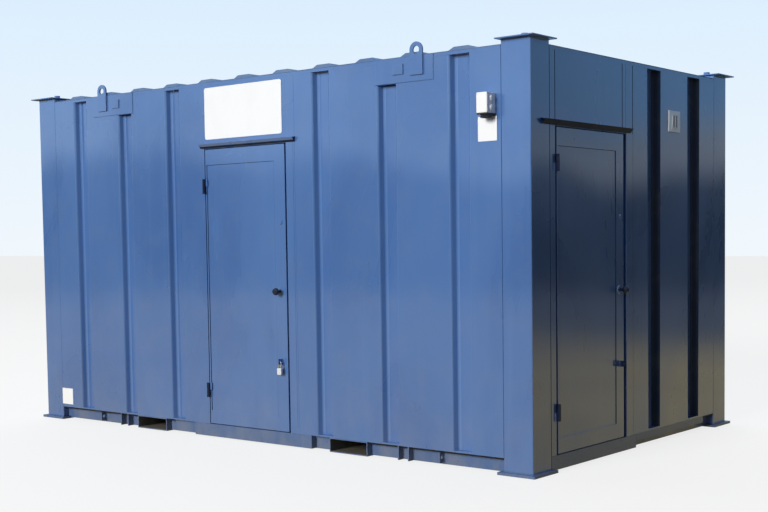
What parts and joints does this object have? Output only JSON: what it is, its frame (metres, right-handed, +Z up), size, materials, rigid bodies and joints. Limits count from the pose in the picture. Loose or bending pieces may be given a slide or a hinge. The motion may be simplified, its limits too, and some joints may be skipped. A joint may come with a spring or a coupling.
{
  "type": "portable site cabin",
  "caption": "Steel portable site cabin with ribbed walls, a front and a side door, fork pockets, stacking corner posts and lifting eyes.",
  "frame": {"origin": "on the ground under the middle of the cabin's frame", "axes": "+X along the length towards the end with the side door, -Y is the front with the sign plate, +Z up"},
  "size_m": [4.9243, 2.884, 2.6969],
  "materials": {
    "blue_paint": "gloss blue paint, slightly wavy, with light wear",
    "blue_door": "gloss blue paint",
    "dark_paint": "dark blue paint",
    "primer": "dull dark primer",
    "ply": "sealed plywood",
    "white_lining": "matt white lining board",
    "white_sheet": "semi-gloss white",
    "white_box": "semi-gloss moulded plastic",
    "black_plastic": "matt",
    "cream_plastic": "satin, weathered",
    "bright_steel": "satin, lightly worn"
  },
  "bodies": {
    "cabin": {"post_front_left": "blue_paint", "post_front_right": "blue_paint", "post_back_left": "blue_paint", "post_back_right": "blue_paint", "foot_plates": "blue_paint", "cap_plates": "blue_paint", "long_base_rails": "blue_paint", "end_base_rails": "blue_paint", "end_skirts": "blue_paint", "floor_joists": "primer", "fork_pocket_left": "blue_paint", "fork_pocket_right": "blue_paint", "rail_stiffeners": "blue_paint", "floor": "ply", "front_wall_left": "blue_paint", "front_wall_right": "blue_paint", "front_door_header": "blue_paint", "side_wall": "blue_paint", "side_wall_strip": "blue_paint", "side_door_header": "blue_paint", "back_wall": "blue_paint", "left_wall": "blue_paint", "front_door_frame": "blue_paint", "side_door_frame": "blue_paint", "door_sills": "blue_paint", "hinge_pins": "dark_paint", "drip_rails": "blue_paint", "roof_rails": "blue_paint", "ceiling_panel": "white_lining", "roof_sheet": "blue_paint", "lifting_plates": "blue_paint", "lifting_eyes": "blue_paint", "sign_plates": "white_sheet", "power_inlet_box": "white_box", "power_inlet": "black_plastic", "vent": "cream_plastic"},
    "front_door": {"front_door_leaf": "blue_door", "front_hinge_knuckles": "dark_paint", "front_door_furniture": "bright_steel"},
    "side_door": {"side_door_leaf": "blue_door", "side_hinge_knuckles": "dark_paint", "side_door_furniture": "bright_steel"},
    "front_door_knob": {"front_knob": "dark_paint"},
    "side_door_knob": {"side_knob": "dark_paint"},
    "padlock": {"padlock": "bright_steel"}
  },
  "joints": [
    {"name": "front_door_hinge", "type": "hinge", "parent": "cabin", "child": "front_door", "pos_m": [-0.4165, -1.383, 0.357], "axis": [0, 0, -1], "range_deg": [0, 110]},
    {"name": "side_door_hinge", "type": "hinge", "parent": "cabin", "child": "side_door", "pos_m": [2.419, -1.088, 0.367], "axis": [0, 0, -1], "range_deg": [0, 110]},
    {"name": "front_knob_turn", "type": "hinge", "parent": "front_door", "child": "front_door_knob", "pos_m": [0.326, -1.37, 1.098], "axis": [0, -1, 0], "range_deg": [-60, 60], "stiffness_Nm_per_rad": 0.3},
    {"name": "side_knob_turn", "type": "hinge", "parent": "side_door", "child": "side_door_knob", "pos_m": [2.406, -0.299, 1.098], "axis": [1, 0, 0], "range_deg": [-60, 60], "stiffness_Nm_per_rad": 0.3},
    {"name": "padlock_swing", "type": "hinge", "parent": "front_door", "child": "padlock", "pos_m": [0.336, -1.4, 0.604], "axis": [-1, 0, 0], "range_deg": [-8, 75]}
  ]
}
